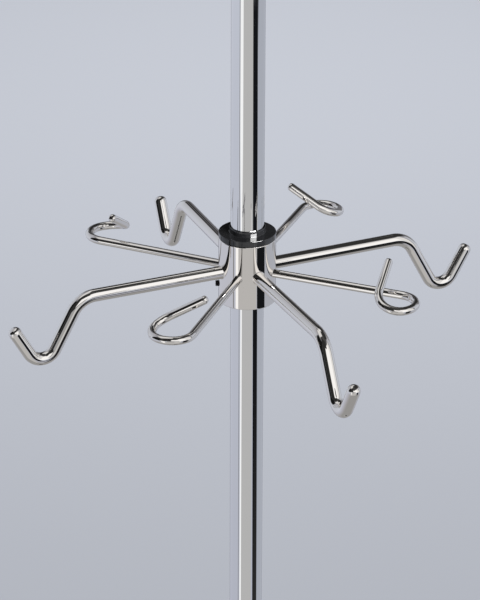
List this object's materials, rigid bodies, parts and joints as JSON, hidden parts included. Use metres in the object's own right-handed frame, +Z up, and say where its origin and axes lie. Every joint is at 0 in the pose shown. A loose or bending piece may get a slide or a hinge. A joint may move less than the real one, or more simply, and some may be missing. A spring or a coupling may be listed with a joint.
{
  "type": "standing coat rack",
  "caption": "Free-standing coat rack: chromed pole on a weighted round base, with a ring of thick coat hooks and thin loop hooks that slides and turns on it.",
  "frame": {"origin": "where the pole's axis meets the floor, at the bottom centre of the rack", "axes": "+Z up along the pole; +X along the first coat hook, within two degrees"},
  "size_m": [0.4877, 0.4877, 1.8],
  "materials": {
    "chrome": "bright polished plating, faintly warm",
    "zinc_steel": "zinc plated, dull",
    "cast_iron": "black painted casting",
    "rubber": "matt black",
    "black_nylon": "moulded, semi-gloss black",
    "black_oxide": "black oxide steel",
    "brass": "turned"
  },
  "bodies": {
    "stand": {"base_cover": "chrome", "pole_flange": "chrome", "lower_pole": "chrome", "upper_pole": "chrome", "top_cap": "chrome", "base_weight": "cast_iron", "foot_ring": "rubber", "base_bolt": "zinc_steel", "base_washer": "zinc_steel", "foot_plug": "zinc_steel", "lower_joint_plug": "zinc_steel", "upper_joint_plug": "zinc_steel", "joint_stud": "zinc_steel"},
    "bushes": {"upper_bush": "black_nylon", "lower_bush": "black_nylon"},
    "hook_ring": {"hub_collar": "chrome", "coat_hook_1": "chrome", "coat_hook_2": "chrome", "coat_hook_3": "chrome", "coat_hook_4": "chrome", "loop_hook_1": "chrome", "loop_hook_2": "chrome", "loop_hook_3": "chrome", "loop_hook_4": "chrome"},
    "clamp_screw": {"clamp_pad": "brass", "clamp_screw": "black_oxide"}
  },
  "joints": [
    {"name": "ring_height", "type": "slide", "parent": "stand", "child": "bushes", "axis": [0, 0, 1], "range_m": [-1.42, 0.24]},
    {"name": "ring_turn", "type": "hinge", "parent": "bushes", "child": "hook_ring", "pos_m": [0, 0, 1.5], "axis": [0, 0, 1], "continuous": true},
    {"name": "clamp_screw_travel", "type": "slide", "parent": "hook_ring", "child": "clamp_screw", "axis": [-0.9171, 0.3987, 0], "range_m": [0, 0.003]}
  ]
}
